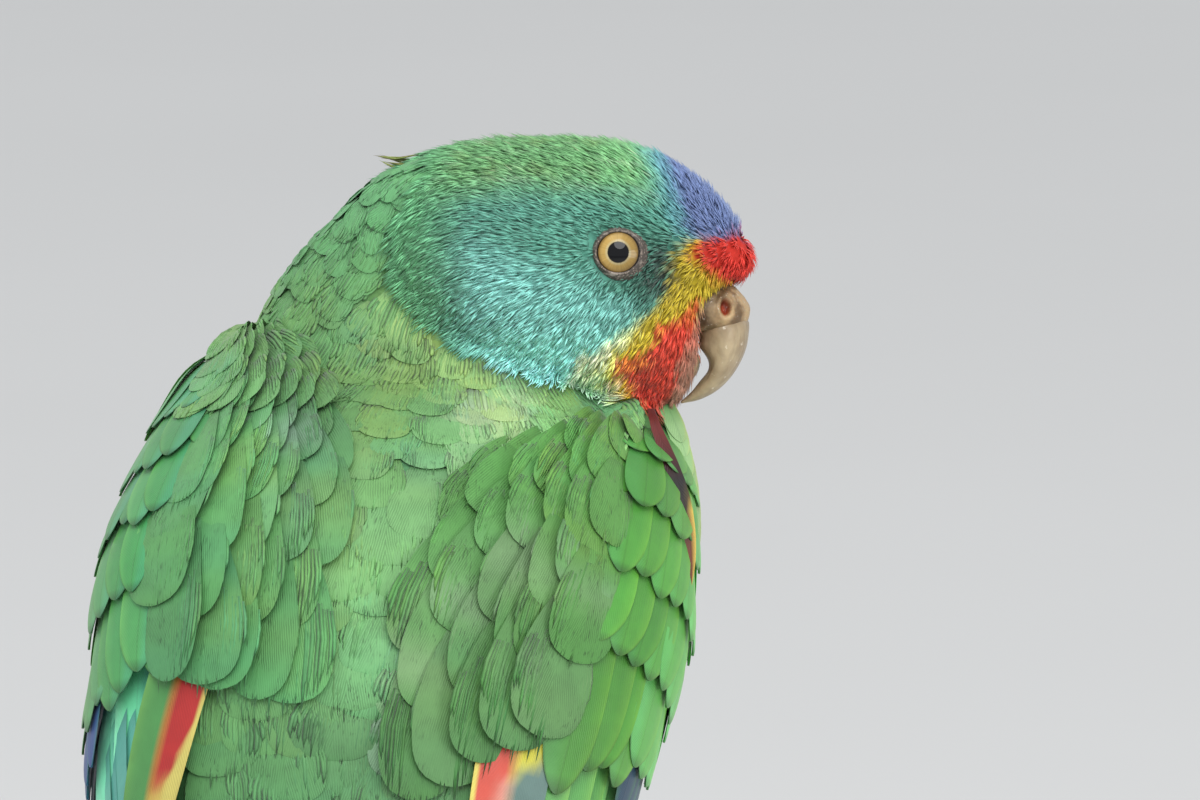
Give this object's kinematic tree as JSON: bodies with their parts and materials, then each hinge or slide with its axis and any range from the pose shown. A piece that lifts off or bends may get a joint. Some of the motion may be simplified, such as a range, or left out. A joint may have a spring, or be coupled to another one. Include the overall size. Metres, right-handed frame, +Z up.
{
  "type": "swift parrot model on a perch stand",
  "caption": "Life-size still model of a small green parrot looking over its shoulder, gripping a short branch on a flat base with two rods.",
  "frame": {"origin": "middle of the stand base's underside, where it rests on the floor", "axes": "+Z up, +Y the way the breast faces, +X the way the turned head and the bill point"},
  "size_m": [0.116, 0.142, 0.2176],
  "materials": {
    "plumage_head": "fine hair-like feathers, teal cheeks, green crown, red face and throat",
    "plumage_body": "soft rounded body feathers, bright green with fine barbs",
    "plumage_wing": "smooth overlapping flight and covert feathers, green with dark blue and red",
    "plumage_tail": "long tapering tail feathers, dark red with blue tips",
    "cere_skin": "bare pinkish skin, slightly waxy",
    "horn": "satin horn, tan and streaked along its length",
    "eye": "wet and clear over an ochre iris and a black pupil",
    "foot_skin": "grey-brown skin with small scales",
    "claw": "dark satin horn",
    "bark": "rough grey-brown bark",
    "stand_wood": "dark oiled hardwood, satin",
    "stand_steel": "satin steel rod"
  },
  "bodies": {
    "root": {"head": "plumage_head", "neck": "plumage_body", "torso": "plumage_body", "wing_left": "plumage_wing", "wing_right": "plumage_wing", "tail": "plumage_tail", "leg_left": "plumage_body", "leg_right": "plumage_body", "cere": "cere_skin", "beak_upper": "horn", "beak_lower": "horn", "eye_left": "eye", "eye_right": "eye", "foot_left": "foot_skin", "foot_right": "foot_skin", "stand_perch": "bark", "stand_base": "stand_wood", "stand_rod_left": "stand_steel", "stand_rod_right": "stand_steel", "claw_left_1": "claw", "claw_left_2": "claw", "claw_left_3": "claw", "claw_left_4": "claw", "claw_right_1": "claw", "claw_right_2": "claw", "claw_right_3": "claw", "claw_right_4": "claw"}
  },
  "joints": []
}
